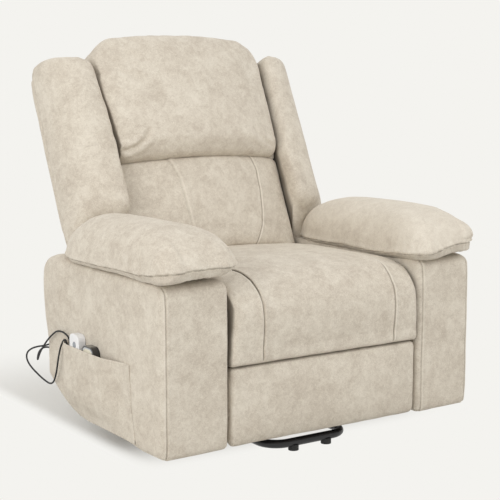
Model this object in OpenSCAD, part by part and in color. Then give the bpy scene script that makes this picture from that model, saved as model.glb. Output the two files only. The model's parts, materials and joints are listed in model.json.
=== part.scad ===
// Power lift recliner chair: floor base, four-bar lift, padded body, reclining back, footrest.
// Millimetres. +X is the sitter's left, -Y is the front, +Z is up. The floor is z = 0.
// Side views use a working frame whose y = 0 is the front face of the arms.

/* [Body] */
// Width over the outer faces of the two arms
body_width = 918; // [860:1:980]
// Width of one arm, side to side
arm_width = 177; // [165:1:190]
// Height of the flat top of an arm, under its pad
arm_top = 452; // [449:0.5:454]
// Height of an arm's lower front edge above the floor
arm_clear = 56; // [54:1:64]
// Radius of the soft edge round an arm's faces
arm_edge = 12; // [6:1:16]
// Clear gap between a cushion and what is beside it
soft_gap = 12; // [8:1:16]
// Gap left where a soft piece rests on another piece
seat_fit = 0.3; // [0.2:0.1:0.6]

/* [Arm pads] */
// How far a pad hangs over the outer face of its arm
pad_side = 22; // [20:1:30]
// How far a pad hangs over the inner face of its arm
pad_inside = 8; // [2:1:12]
// How far a pad hangs over the front of its arm
pad_front = 28; // [20:1:40]
// Distance of a pad's rear end ahead of the foot of the back
pad_rear = 23; // [18:1:40]
// Height of the pad's crown above the arm top
pad_crown = 127; // [110:1:135]
// Height of the pad's seam above the arm top
pad_seam = 19; // [14:1:24]

/* [Seat] */
// Height of the seat's crown above the floor
seat_crown = 463; // [450:1:470]
// Depth of the seat cushion behind the arm fronts
seat_depth = 502; // [480:1:520]
// How far the waterfall front bulges ahead of the arms
seat_bulge = 15; // [5:1:20]
// Height of the seam between the seat and the footrest
seat_seam = 250; // [249:0.5:252]
// Height of the seat deck's underside
deck_base = 262; // [262:0.5:266]
// Thickness of the seat deck board
deck_thick = 18; // [12:1:22]
// Distance of each sewn line from the middle of the seat
stitch_x = 196; // [170:1:220]
// Depth of the sewn lines in the seat
stitch_deep = 5; // [1:0.5:8]

/* [Back] */
// Distance of the foot of the back behind the seat cushion
back_room = 73; // [71:1:80]
// How far the arms reach behind the foot of the back
arm_rear = 19; // [12:1:30]
// Lean of the back from upright, in degrees
lean = 24.7; // [23:0.1:26]
// Half width over the outer faces of the side bolsters
wing_outer = 400; // [385:1:430]
// Thickness of a side bolster, front to rear
wing_thick = 154; // [130:1:158]
// Length of a side bolster along the lean
wing_length = 460; // [440:1:480]
// How far the headrest pillow stands out from the back board
head_out = 121; // [105:1:132]
// How far the lumbar pillow stands out from the back board
lumbar_out = 76; // [70:1:84]
// Length of the headrest pillow along the lean
head_length = 362; // [340:1:380]
// Length of the lumbar pillow along the lean
lumbar_length = 238; // [225:1:240]
// Clear gap between the headrest and lumbar pillows and the line of an arm's inner face
pillow_clear = 14; // [12:1:27]
// Thickness of the upholstered outer back
outer_thick = 32; // [24:1:36]
// Greatest recline of the back, in degrees
recline_max = 38; // [20:1:38]

/* [Footrest] */
// Thickness of the footrest's padding
rest_pad = 56; // [50:1:58]
// Thickness of the footrest board
rest_board = 12; // [9:1:14]
// Height of the footrest's lower edge above the floor
rest_clear = 61; // [58:1:70]

/* [Steel] */
// Radius of the base bow's tube
tube_r = 10.5; // [9.5:0.5:11.5]
// Wall of the base bow's tube
tube_wall = 2; // [1.2:0.1:3]
// Distance of each base rail from the middle
rail_x = 118; // [114:1:124]
// Bend radius of the bow's corners
bow_bend = 50; // [40:1:52]
// Distance of the bow's front bar behind the arm fronts
bow_y = 73; // [68:1:78]
// Distance of each front glide from the middle
glide_x = 50; // [40:1:56]
// Radius of a floor glide
glide_r = 13; // [12:0.5:14]
// Height of a floor glide
glide_h = 9; // [8:0.5:12]
// Thickness of the linkage plates
plate = 5; // [4:0.5:5]
// Radius of the pivot pins
pin_r = 5; // [4:0.5:6]
// Running clearance of the pivot holes
run_fit = 0.06; // [0.03:0.01:0.1]
// Extra radius of the front lift link's open pivot hole
link_free = 2; // [1.8:0.1:2.5]
// Radius of the actuator's rod
rod_r = 10; // [8:0.5:11]
// Radius of the actuator's outer tube
act_r = 17; // [15:0.5:19]

/* [Pocket and handsets] */
// Length of the pocket along the arm
pocket_length = 430; // [400:1:440]
// Height of the pocket's rim above the floor
pocket_rim = 250; // [240:1:262]
// Thickness of the pocket's cloth
pocket_cloth = 2.4; // [1.5:0.1:3]
// How far the pocket stands out from the arm
pocket_out = 22; // [21.5:0.1:22.5]
// Thickness of the two handsets
handset_thick = 18; // [14:0.5:18]
// Width of the white handset
white_w = 51; // [44:1:56]
// Length of the white handset
white_l = 128; // [110:1:132]
// Width of the black handset
black_w = 62; // [52:1:66]
// Length of the black handset
black_l = 118; // [100:1:120]
// Radius of the handset cords
cord_r = 2.25; // [2:0.05:2.6]

/* [Hidden] */
$fn = 48;

arm_out = body_width / 2;
arm_in = arm_out - arm_width;
// Half width of the headrest and lumbar pillows
pillow_half = arm_in - pillow_clear;
arm_mid = (arm_out + arm_in) / 2;
lean_s = sin(lean);
lean_c = cos(lean);
// Foot of the back's rear plane, and its recline pivot
back_y = seat_depth + back_room;
arm_depth = back_y + arm_rear;
pad_length = back_y - pad_rear + pad_front;
back_z = 400;
outer_top = 566;
hinge_u = -28;
hinge = [back_y + hinge_u * lean_c, back_z - hinge_u * lean_s];
// A side-view point from its offset behind the rear plane and its height along the lean
function on_back(u, v) = [back_y + v * lean_s + u * lean_c, back_z + v * lean_c - u * lean_s];
outer_stations = [-40, -32, 0, 60, 92, 112, 200, 320, 440, outer_top - 60, outer_top - 18, outer_top - 5,
    outer_top];
// Thickness of the outer back at a height along the lean: thin at its two ends
function outer_out(v) = v <= -40 || v >= outer_top ? 12 : v == outer_top - 60 ? outer_thick
    : outer_thick * (0.72 + 0.28 * sin(180 * min(1, max(0, (v + 40) / (outer_top + 60)))));
rear_y = max([for (v = outer_stations) on_back(4 + seat_fit + outer_out(v), v)[0]]);
centre_y = (rear_y - pad_front) / 2;

// Pivots of the lift: front link on base, lift arm on base, their ends on the chassis
pivot_c = [190, 85];
pivot_a = [257, 90];
pivot_d = pivot_c + 110 * [cos(20), sin(20)];
pivot_b = pivot_a + 268 * [cos(11.4), sin(11.4)];
tube_t = pivot_a + 60 * [cos(11.4), sin(11.4)];
// Actuator: motor pivot on the base, rod eye at the crank
pivot_g = [560.3, 60.4];
pivot_e = [330, 224.5];
act_len = norm(pivot_e - pivot_g);
act_angle = atan2(pivot_e[1] - pivot_g[1], pivot_e[0] - pivot_g[0]);
// Footrest: hanger pivot, folded knee, pivot on the footrest
pivot_p = [181.2, 224.9];
pivot_k = [308.6, 100.4];
pivot_q = [80.2, 223.6];
eye_free = 5.5;
// Lanes of the plates, measured from the middle to a plate's inner face
lane_arm = 154;
lane_base = 160;
lane_link = 166;
lane_chassis = 172;
lane_b = 233;
lane_a = 240;
lane_hang = 247;
rail_z = glide_h + tube_r;
front_tube_y = 215;
front_tube_d = 30;
front_tube_top = 58;
rear_tube_y = 640;
rear_tube = 30;
bar_base = 244;
bar_depth = 25;
bar_wall = 2;
front_bar_y = 190;
rear_bar_y = back_y - 53;
box_y = seat_depth - 72;
box_side = 84;
box_foot = 214;
panel_y = back_y - 19;
panel_thick = 12;
pillow_foot = 246;
board_u = -62;
board_top = pillow_foot + head_length - 118;
board_half = pillow_half + 5;

cloth = [0.82, 0.78, 0.70];
black = [0.06, 0.06, 0.07];
steel = [0.62, 0.63, 0.64];
wood = [0.72, 0.56, 0.36];

// ---- helpers ----
module seated() { translate([0, -centre_y, 0]) children(); }
module at_x(x0, w) { translate([x0, 0, 0]) rotate([90, 0, 90]) linear_extrude(w) children(); }
module at_side(s, x0, w) { at_x(s > 0 ? x0 : -x0 - w, w) children(); }
module disc(p, r) { translate(p) circle(r); }
// A straight link with round ends, in the side view
module link_2d(p, q, r) {
    d = q - p;
    a = atan2(d[1], d[0]);
    translate(p) rotate(a) translate([0, -0.96 * r]) square([norm(d), 1.92 * r]);
    disc(p, r);
    disc(q, r);
}
function flat(l) = [for (a = l) for (b = a) b];
function mean(l) = [for (k = [0:len(l[0]) - 1]) let (s = [for (p = l) p[k]]) total(s) / len(l)];
function total(l, i = 0) = i >= len(l) ? 0 : l[i] + total(l, i + 1);
function mix(a, b, t) = a + (b - a) * t;
function smooth(t) = let (c = max(0, min(1, t))) c * c * (3 - 2 * c);
function bump(x, w) = exp(-x * x / (w * w));
// A closed solid through equal rings of points, with a fan at each end
module skin(rings) {
    n = len(rings[0]);
    m = len(rings);
    pts = concat(flat(rings), [mean(rings[0]), mean(rings[m - 1])]);
    polyhedron(pts, concat(
        flat([for (i = [0:m - 2]) flat([for (j = [0:n - 1]) let (k = (j + 1) % n)
            [[i * n + j, i * n + k, (i + 1) * n + k], [i * n + j, (i + 1) * n + k, (i + 1) * n + j]]])]),
        [for (j = [0:n - 1]) [m * n, (j + 1) % n, j]],
        [for (j = [0:n - 1]) [m * n + 1, (m - 1) * n + j, (m - 1) * n + (j + 1) % n]]), convexity = 6);
}
// Outline points moved inwards by d; the outline runs anticlockwise
function inward(p, d) = let (n = len(p)) [for (i = [0:n - 1])
    let (t = p[(i + 1) % n] - p[(i + n - 1) % n]) p[i] + d * [-t[1], t[0]] / norm(t)];
// Stations across a padded piece with the inset at each, so that its edges are round
function rounded(lo, hi, r, mid) = concat(
    [for (a = [90, 58, 26]) [lo + r * (1 - cos(90 - a)), r * (1 - cos(a)) ]],
    [for (i = [0:mid]) [mix(lo + r, hi - r, i / mid), 0]],
    [for (a = [26, 58, 90]) [hi - r * (1 - cos(90 - a)), r * (1 - cos(a)) ]]);

// ---- floor base ----
module bow_path(r) {
    for (s = [-1, 1]) {
        translate([s * rail_x, bow_y + bow_bend, rail_z]) rotate([-90, 0, 0])
            cylinder(r = r, h = rear_tube_y - bow_y - bow_bend);
        translate([s * (rail_x - bow_bend), bow_y + bow_bend, rail_z])
            rotate([0, 0, s > 0 ? -90 : 180]) rotate_extrude(angle = 90)
                translate([bow_bend, 0]) circle(r);
    }
    translate([bow_bend - rail_x, bow_y, rail_z]) rotate([0, 90, 0])
        cylinder(r = r, h = 2 * (rail_x - bow_bend));
}
module base_bow() {
    color(black) seated() difference() {
        bow_path(tube_r);
        bow_path(tube_r - tube_wall);
    }
}
module base_front_tube() {
    half = lane_base + plate + 10;
    color(black) seated() difference() {
        translate([-half, front_tube_y, rail_z]) cube([2 * half, front_tube_d, front_tube_top - rail_z]);
        for (s = [-1, 1]) translate([s * rail_x, front_tube_y - 1, rail_z]) rotate([-90, 0, 0])
            cylinder(r = tube_r, h = front_tube_d + 2);
    }
}
rear_half = 250;
module base_rear_tube() {
    color(black) seated() translate([-rear_half, rear_tube_y, glide_h]) difference() {
        cube([2 * rear_half, rear_tube, rear_tube]);
        translate([-1, tube_wall, tube_wall])
            cube([2 * rear_half + 2, rear_tube - 2 * tube_wall, rear_tube - 2 * tube_wall]);
    }
}
module base_glides() {
    color(black) seated() {
        for (s = [-1, 1]) difference() {
            translate([s * glide_x, bow_y, 0]) cylinder(r = glide_r, h = rail_z - tube_r / 2);
            translate([-rail_x, bow_y, rail_z]) rotate([0, 90, 0]) cylinder(r = tube_r, h = 2 * rail_x);
        }
        for (s = [-1, 1]) translate([s * (rear_half - 18), rear_tube_y + rear_tube / 2, 0])
            cylinder(r = glide_r, h = glide_h);
    }
}
module bracket(s) {
    front = pivot_c[0] - 14;
    rear = pivot_a[0] + 14;
    color(black) seated() at_side(s, lane_base, plate) difference() {
        union() {
            polygon([[front_tube_y, front_tube_top], [front_tube_y + front_tube_d, front_tube_top],
                [rear, pivot_a[1] - 6], pivot_a + [0, 14], pivot_c + [0, 14], [front, pivot_c[1] - 6]]);
            disc(pivot_c, 14);
            disc(pivot_a, 14);
        }
        disc(pivot_c, pin_r);
        disc(pivot_a, pin_r);
    }
}
module base_bracket_left() { bracket(1); }
module base_bracket_right() { bracket(-1); }
// Headed pins: the front ones carry the links outside the bracket, the others the arms inside it
module base_pins() {
    color(steel) seated() for (s = [-1, 1]) {
        at_side(s, lane_base - 0.4, lane_link + plate - lane_base + 0.8) disc(pivot_c, pin_r);
        at_side(s, lane_link + plate + 0.4 - 0.1, 0.5) disc(pivot_c, pin_r + 3);
        at_side(s, lane_arm - 0.4, lane_base + plate - lane_arm) disc(pivot_a, pin_r);
        at_side(s, lane_arm - 2.4, 2) disc(pivot_a, pin_r + 3);
    }
}
ear_in = 26;
module actuator_bracket() {
    color(black) seated() {
        for (s = [-1, 1]) at_side(s, ear_in, plate) difference() {
            union() {
                polygon([[rear_tube_y, glide_h + 2], [rear_tube_y, glide_h + rear_tube],
                    pivot_g + [0, 12], pivot_g + [0, -12]]);
                disc(pivot_g, 12);
            }
            disc(pivot_g, pin_r);
        }
        at_x(-ear_in - plate, 2 * (ear_in + plate)) disc(pivot_g, pin_r);
    }
}

// ---- lift linkage ----
module lift_arm(s) {
    color(steel) seated() at_side(s, lane_arm, plate) difference() {
        link_2d(pivot_a, pivot_b, 15);
        disc(pivot_a, pin_r + run_fit);
        disc(pivot_b, pin_r + run_fit);
    }
}
module lift_arm_left() { lift_arm(1); }
module lift_arm_right() { lift_arm(-1); }
torque_r = 13;
module torque_tube() {
    color(steel) seated() at_x(-lane_arm, 2 * lane_arm) difference() {
        disc(tube_t, torque_r);
        disc(tube_t, torque_r - 2.5);
    }
}
crank_in = 11;
module lift_crank() {
    color(steel) seated() {
        for (s = [-1, 1]) at_side(s, crank_in, plate) difference() {
            union() {
                link_2d(tube_t, pivot_e, 12);
                disc(tube_t, torque_r + 8);
            }
            disc(tube_t, torque_r);
        }
        at_x(-crank_in, 2 * crank_in) disc(pivot_e, pin_r);
    }
}
module front_link(s) {
    color(steel) seated() at_side(s, lane_link, plate) difference() {
        link_2d(pivot_c, pivot_d, 13);
        disc(pivot_c, pin_r + run_fit);
        disc(pivot_d, pin_r + link_free);
    }
}
module front_link_left() { front_link(1); }
module front_link_right() { front_link(-1); }
module actuator_motor() {
    motor_r = 21;
    color(black) seated() translate([0, pivot_g[0], pivot_g[1]]) rotate([act_angle - 90, 0, 0]) {
        difference() {
            union() {
                rotate([0, 90, 0]) translate([0, 0, -ear_in + 1]) cylinder(r = 14, h = 2 * ear_in - 2);
                translate([-22, -22, 13]) cube([90, 44, 29]);
                translate([46, 0, 42]) cylinder(r = motor_r, h = 105);
            }
            rotate([0, 90, 0]) translate([0, 0, -ear_in]) cylinder(r = pin_r + run_fit, h = 2 * ear_in);
        }
    }
}
module along_actuator(s) {
    translate([0, pivot_g[0], pivot_g[1]]) rotate([act_angle - 90, 0, 0]) translate([0, 0,
        s]) children();
}
module actuator_tube() {
    color(steel) seated() along_actuator(42) difference() {
        cylinder(r = act_r, h = 190);
        translate([0, 0, 20]) cylinder(r = rod_r + run_fit, h = 190);
    }
}
module actuator_rod() {
    eye_r = pin_r + eye_free + 4;
    color(steel) seated() difference() {
        union() {
            along_actuator(104) cylinder(r = rod_r, h = act_len - 104 - eye_r + 2);
            at_x(0.5 - crank_in, 2 * crank_in - 1) disc(pivot_e, eye_r);
        }
        at_x(-crank_in, 2 * crank_in) disc(pivot_e, pin_r + eye_free);
    }
}

// ---- chassis ----
module chassis_plate(s) {
    color(steel) seated() at_side(s, lane_chassis, plate) difference() {
        union() {
            polygon([[front_bar_y, bar_base], [front_bar_y, bar_base - 20], pivot_d + [-16, 10],
                pivot_d + [0, -16],
                pivot_b + [0, -16], pivot_b + [16, 10], [rear_bar_y + 26, bar_base]]);
            disc(pivot_d, 16);
            disc(pivot_b, 16);
        }
        disc(pivot_d, pin_r);
        disc(pivot_b, pin_r);
    }
}
module chassis_plate_left() { chassis_plate(1); }
module chassis_plate_right() { chassis_plate(-1); }
module cross_bar(y) {
    half = arm_in - seat_fit;
    color(steel) seated() translate([-half, y, bar_base]) difference() {
        cube([2 * half, bar_depth, deck_base - bar_base]);
        translate([-1, bar_wall, bar_wall])
            cube([2 * half + 2, bar_depth - 2 * bar_wall, deck_base - bar_base - 2 * bar_wall]);
    }
}
module chassis_cross_front() { cross_bar(front_bar_y); }
module chassis_cross_rear() { cross_bar(rear_bar_y); }
module chassis_pins() {
    color(steel) seated() for (s = [-1, 1]) {
        at_side(s, lane_link - 0.4, lane_chassis + plate - lane_link) disc(pivot_d, pin_r);
        at_side(s, lane_arm - 0.4, lane_chassis + plate - lane_arm) disc(pivot_b, pin_r);
        at_side(s, lane_arm - 2.4, 2) disc(pivot_b, pin_r + 3);
        at_side(s, lane_a - 0.4, lane_hang + plate - lane_a) disc(pivot_p, pin_r);
        at_side(s, lane_a - 1.4, 1) disc(pivot_p, pin_r + 2);
    }
}
module hanger(s) {
    color(steel) seated() at_side(s, lane_hang, plate) difference() {
        union() {
            polygon([pivot_p + [-12, 0], pivot_p + [12, -4], [front_bar_y + bar_depth, bar_base],
                [front_bar_y, bar_base]]);
            disc(pivot_p, 12);
        }
        disc(pivot_p, pin_r);
    }
}
module footrest_hanger_left() { hanger(1); }
module footrest_hanger_right() { hanger(-1); }
deck_front = 62;
module seat_deck() {
    half = arm_in - soft_gap;
    color(wood) seated() translate([-half, deck_front, deck_base])
        cube([2 * half, seat_depth - deck_front - 4, deck_thick]);
}
module control_box() {
    color(black) seated() translate([-124, box_y, box_foot]) cube([box_side, box_side,
        deck_base - box_foot]);
}
module mains_gland() {
    color(black) seated() translate([-82, box_y + box_side, box_foot + 12]) rotate([-90, 0, 0])
        cylinder(r = 7, h = 14);
}
grommet = [-424, 206];
module cord_grommet() {
    color(black) seated() translate([grommet[0], arm_depth - 8, grommet[1]]) rotate([-90, 0, 0])
        difference() {
            cylinder(r = 11, h = 10);
            translate([0, 0, 6]) cylinder(r = 8, h = 5);
        }
}
module recline_pins() {
    reach = board_half - 14;
    color(steel) seated() for (s = [-1, 1]) at_side(s, reach, arm_in - seat_fit - reach)
        disc(hinge, 8);
}

// ---- padded body ----
// Side view of an arm: it rises at the rear and its upper corners are round
function arm_outline() = let (t = arm_top, b = arm_clear, d = arm_depth) [
    [6, b], [0.18 * d, b], [0.4 * d, b + 7], [0.63 * d, b + 15], [0.75 * d, b + 32], [0.833 * d, b + 52],
    [d - 48, b + 70],
    [d - 19, b + 93], [d - 8, b + 144], [d - 2, 300], [d, t - 52], [d - 6, t - 27], [d - 22, t - 11],
    [d - 54, t - 2], [d - 94, t], [0.44 * d, t], [44, t], [16, t - 4], [3, t - 16], [0, t - 50],
    [0, 250],
    [0, b + 40], [1, b + 8]];
cavity = 14;
frame_foot = 110;
frame_top = arm_top - 40;
frame_length = arm_depth - 124;
module arm_cover(s) {
    color(cloth) seated() mirror([s > 0 ? 0 : 1, 0, 0]) difference() {
        skin([for (q = rounded(arm_in, arm_out, arm_edge, 2))
            [for (p = inward(arm_outline(), q[1])) [q[0], p[0], p[1]]]]);
        translate([arm_in + cavity, cavity + 6, arm_clear - 20])
            cube([arm_width - 2 * cavity, frame_length, frame_top - arm_clear + 20]);
        if (s < 0) translate([-grommet[0], arm_depth - 8, grommet[1]]) rotate([-90, 0, 0])
            cylinder(r = 11, h = 20);
    }
}
module arm_cover_left() { arm_cover(1); }
module arm_cover_right() { arm_cover(-1); }
// Timber frame that fills the hollow of an arm
module arm_frame(s) {
    w = arm_width - 2 * cavity - 2 * seat_fit;
    color(wood) seated() mirror([s > 0 ? 0 : 1, 0, 0])
        translate([arm_in + cavity + seat_fit, cavity + 6 + seat_fit, frame_foot]) difference() {
            cube([w, frame_length - 2 * seat_fit, frame_top - frame_foot - seat_fit]);
            translate([-1, 30, 30]) cube([w + 2, frame_length - 62, frame_top - frame_foot - 62]);
        }
}
module arm_frame_left() { arm_frame(1); }
module arm_frame_right() { arm_frame(-1); }
// Pad: pillow top over a seam, with a narrower band below it
pad_stations = [0, 8, 22, 45, 80, 130, 200, 290, 370, 430, 470, 510, 545, 572, 590];
function pad_ring(y) = let (
    t = y * pad_length / 590, back = pad_length - t,
    f = pow(1 - pow(1 - min(1, (t + 5) / 190), 2.3), 1 / 2),
    g = pow(1 - pow(1 - min(1, (back + 14) / 230), 2.2), 1 / 1.6),
    plan = min(pow(1 - pow(1 - min(1, (t + 14) / 66), 2), 0.5),
        pow(1 - pow(1 - min(1, (back + 24) / 150), 2), 0.5)),
    lo = arm_in - pad_inside, hi = arm_out + pad_side, mid = (lo + hi) / 2,
    hw = (hi - lo) / 2 * plan, seam = arm_top + pad_seam, top = (pad_crown - pad_seam) * min(f, g))
    concat(
        [for (a = [0, 14, 30, 50, 70, 90, 110, 130, 150, 166,
        180]) [mid + hw * sign(cos(a)) * pow(abs(cos(a)), 0.74),
            t - pad_front, seam + top * pow(sin(a), 0.8)]],
        [for (q = [[-0.97, 0.55], [-0.87, 0.1], [-0.6, 0], [0, 0], [0.6, 0], [0.87, 0.1], [0.97, 0.55]])
            [mid + hw * q[0], t - pad_front, arm_top + seat_fit + q[1] * pad_seam]]);
module arm_pad(s) {
    color(cloth) seated() mirror([s > 0 ? 0 : 1, 0, 0])
        skin([for (y = [for (i = [len(pad_stations) - 1:-1:0]) pad_stations[i]]) pad_ring(y)]);
}
module arm_pad_left() { arm_pad(1); }
module arm_pad_right() { arm_pad(-1); }
// Seat: flat under, a waterfall front that hangs to the footrest seam, a low crown
function seat_outline(c) = let (z = seat_crown - 14 + c, u = deck_base + deck_thick + seat_fit,
    b = seat_seam,
    f = -seat_bulge, d = seat_depth) [
    [10, b], [40, b], [52, b + 6], [55, b + 22], [60, u], [200, u], [380, u], [d - 12, u], [d, u + 12],
    [d, z - 40], [d - 6, z - 18], [d - 30, z - 9], [380, z - 2], [260, z], [150, z], [80, z - 4],
    [40, z - 16], [12, z - 38], [f + 6, z - 66], [f, z - 100], [f + 1, z - 140], [f + 6, b + 22],
    [-2, b + 5]];
module seat_cushion() {
    half = arm_in - soft_gap;
    color(cloth) seated() skin([for (q = rounded(-half, half, 16, 14))
        let (c = 14 * (1 - pow(abs(q[0]) / half, 2.4)),
            g = stitch_deep * (bump(q[0] - stitch_x, 7) + bump(q[0] + stitch_x, 7)))
        [for (p = inward(seat_outline(c), q[1])) [q[0],
        p[0] + (p[1] < seat_crown - 34 && p[0] < 30 ? g : 0),
            p[1] - (p[0] > 30 && p[0] < 400 && p[1] > 400 ? g : 0)]]]);
}
module rear_panel() {
    half = arm_in - soft_gap;
    panel_foot = 118;
    panel_tall = 204;
    tab_foot = 200;
    tab_tall = 40;
    color(cloth) seated() translate([-half, panel_y, panel_foot]) cube([2 * half, panel_thick,
        panel_tall]);
    color(cloth) seated() for (s = [-1, 1]) translate([s > 0 ? half : -arm_in + seat_fit, panel_y,
        tab_foot])
        cube([soft_gap - seat_fit, panel_thick, tab_tall]);
}
// Pocket on the outer face of the right arm: a sheet that lies on the arm along its seams
// and stands off it between them, open along its rim
pocket_y = arm_depth - pocket_length - 14;
pocket_sweep = arm_depth - 244;
pocket_flare = arm_depth - 164;
function pocket_low(y) = arm_clear + 14 + (y < pocket_sweep ? 0 : pow((y - pocket_sweep) / 10,
    2) * 0.16);
function pocket_rise(y) = pocket_rim + (y > pocket_flare ? (y - pocket_flare) * 0.09 : 0);
function pocket_gap(y) = (pocket_out - pocket_cloth - seat_fit)
    * min(smooth((y - pocket_y - 15) / 105), smooth((pocket_y + pocket_length - 85 - y) / 50));
pocket_rows = [0, 0.12, 0.24, 0.36, 0.6, 0.8, 1];
module side_pocket() {
    rear = pocket_y + pocket_length;
    front_cut = 26;
    color(cloth) seated() skin([for (y = [for (i = [0:24]) mix(pocket_y, rear - 6, i / 24)])
        let (b = pocket_low(y), t = pocket_rise(y), g = pocket_gap(y), x = arm_out + seat_fit)
        concat([for (k = pocket_rows) [-x - g * smooth(k / 0.36),
            y - front_cut * pow(1 - k, 3) * max(0, 1 - (y - pocket_y) / 80),
                mix(b, t, k)]],
            [for (i = [len(pocket_rows) - 1:-1:0]) let (k = pocket_rows[i])
                [-x - pocket_cloth - g * smooth(k / 0.36),
                y - front_cut * pow(1 - k, 3) * max(0, 1 - (y - pocket_y) / 80),
                mix(b, t, k)]])]);
}

// ---- reclining back ----
// Puts a piece drawn across the back (x), up the lean (y) and out of its rear plane (z) in place
module on_lean() {
    translate([0, back_y, back_z]) rotate([-lean, 0, 0]) multmatrix([[1, 0, 0, 0], [0, 0, 1, 0],
        [0, 1, 0, 0]])
        children();
}
function lean_pt(x, u, v) = let (p = on_back(u, v)) [x, p[0], p[1]];
module back_frame() {
    top = board_top;
    depth = 4 - board_u;
    color(wood) seated() difference() {
        translate([0, back_y, back_z]) rotate([-lean, 0, 0]) difference() {
            translate([-board_half, board_u, -22]) cube([2 * board_half, depth, top + 22]);
            for (k = [0, 1]) translate([-board_half + 40, board_u - 1, 20 + k * (top - 20) / 2])
                cube([2 * board_half - 80, depth + 2, (top - 20) / 2 - 34]);
        }
        at_x(-board_half - 1, 2 * board_half + 2) disc(hinge, 8 + run_fit);
    }
}
module back_outer() {
    half = wing_outer - 14;
    low = board_half - 4;
    top = outer_top;
    u0 = 4 + seat_fit;
    function half_at(v) = mix(low, half, smooth((v - 92) / 20));
    color(cloth) seated() skin([for (v = outer_stations)
        let (e = v > top - 18.5 ? (v - top + 18.5) : 0, h = half_at(v) - e * 1.2, w = outer_out(v))
        [for (q = [[-1, 0], [-0.5, 0], [0, 0], [0.5, 0], [1, 0], [1, 0.55], [0.985, 0.85], [0.94, 1],
            [0.5, 1], [0, 1], [-0.5, 1], [-0.94, 1], [-0.985, 0.85], [-1, 0.55]])
            lean_pt(h * q[0], u0 + w * q[1], v)]]);
}
// Pillow outline in the side view: u is out from the board, v is up the lean
function pillow_outline(v0, len, out, dent, over) = let (a = board_u - seat_fit) [
    each over > 0 ? [[a + over * 0.65, v0 + len - 12], [a + over, v0 + len - 40],
        [a + over, board_top + 18],
        [a + over - 6, board_top + seat_fit]] : [],
    [a, over > 0 ? board_top + seat_fit : v0 + len - 26], [a, v0 + len * 0.6], [a, v0 + len * 0.3],
    [a, v0 + (over > 0 ? 14 : 26)], [a - out * 0.2, v0 + (over > 0 ? 4 : 17)],
    [a - out * 0.5, v0 + (over > 0 ? 0 : 7)],
    [a - out * 0.78, v0 + (over > 0 ? 2 : 10)], [a - out * 0.94, v0 + (over > 0 ? 8 : 26)],
    [a - out, v0 + (over > 0 ? 24 : 58)], [a - out + dent * 0.5, v0 + len * 0.38],
    [a - out + dent, v0 + len * 0.52],
    [a - out + dent, v0 + len * 0.7], [a - out * 0.93 + dent, v0 + len - (over > 0 ? 44 : 16)],
    [a - out * 0.78, v0 + len - (over > 0 ? 14 : 5)],
    [a - out * 0.5, v0 + len - 1], [a - out * 0.2, v0 + len - 5]];
module pillow(v0, len, out, dent, corner, crown, over) {
    mid = over > 0 ? board_top + 4 : v0 + len * 0.4;
    color(cloth) seated() skin([for (q = rounded(-pillow_half, pillow_half, side_round, 12))
        let (t = abs(q[0]) / pillow_half, k = 1 - corner * pow(t, 5), c = crown * (1 - t * t))
        [for (p = inward(pillow_outline(v0, len, out - crown, dent, over), -q[1] * 0.6))
            lean_pt(q[0], p[0] < board_u - 6 ? p[0] - c * smooth((board_u - 6 - p[0]) / 26) : p[0],
                p[1] > mid ? mid + (p[1] - mid) * k : p[1])]]);
}
// Radius of the soft sides of the headrest and lumbar pillows
side_round = 24;
module headrest_cushion() { pillow(pillow_foot, head_length, head_out, 4, 0.6, 38, 4 - board_u); }
module lumbar_cushion() { pillow(4, lumbar_length, lumbar_out, -2, 0.02, 42, 0); }
wing_in = pillow_half + 8;
wing_foot = 100;
// How far the inner rear strip of a side bolster hangs below its foot, and how wide it is
foot_drop = 50;
foot_strip = 28;
function wing_hang(x, u, v) = foot_drop * smooth(1 - (x - wing_in - 8) / foot_strip) * smooth((u + 98) / 42)
    * smooth(1 - (v - wing_foot) / 130);
wing_outline = let (a = wing_in, b = wing_outer, f = 4 - wing_thick, w = b - a) [
    [a, -16], [a, f * 0.5], [a, f + 14], [a + 10, f + 2], [a + w * 0.24, f], [a + w * 0.46, f + 8],
    [a + w * 0.68, f + 26], [a + w * 0.86, f + 54], [b - 3, f + 86], [b, -30], [b - 3, -9], [b - 13, 2],
    [a + w * 0.6, 4], [a + w * 0.3, 4], [a + 10, 3]];
function wing_ring(v, d) = let (p = inward(wing_outline, d)) [for (i = [0:len(p) - 1])
    lean_pt(p[i][0], p[i][1], v - wing_hang(wing_outline[i][0], wing_outline[i][1], v))];
module wing(s) {
    color(cloth) seated() mirror([s > 0 ? 0 : 1, 0, 0])
        skin([for (q = rounded(wing_foot, wing_foot + wing_length, 34, 7)) wing_ring(q[0], q[1])]);
}
module wing_left() { wing(1); }
module wing_right() { wing(-1); }

// ---- footrest ----
module link_a(s) {
    color(steel) seated() {
        at_side(s, lane_a, plate) difference() {
            link_2d(pivot_p, pivot_k, 11);
            disc(pivot_p, pin_r + run_fit);
        }
        at_side(s, lane_b - 0.4, lane_a - lane_b + 0.4) disc(pivot_k, pin_r);
        at_side(s, lane_b - 1.4, 1) disc(pivot_k, pin_r + 3);
    }
}
module footrest_link_a_left() { link_a(1); }
module footrest_link_a_right() { link_a(-1); }
module link_b(s) {
    color(steel) seated() at_side(s, lane_b, plate) difference() {
        link_2d(pivot_k, pivot_q, 11);
        disc(pivot_k, pin_r + run_fit);
        disc(pivot_q, pin_r + run_fit);
    }
}
module footrest_link_b_left() { link_b(1); }
module footrest_link_b_right() { link_b(-1); }
rest_top = seat_seam - 4;
module footrest_board() {
    half = arm_in - soft_gap - 6;
    color(wood) seated() translate([-half, rest_pad, rest_clear + 5])
        cube([2 * half, rest_board, rest_top - rest_clear - 10]);
}
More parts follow.
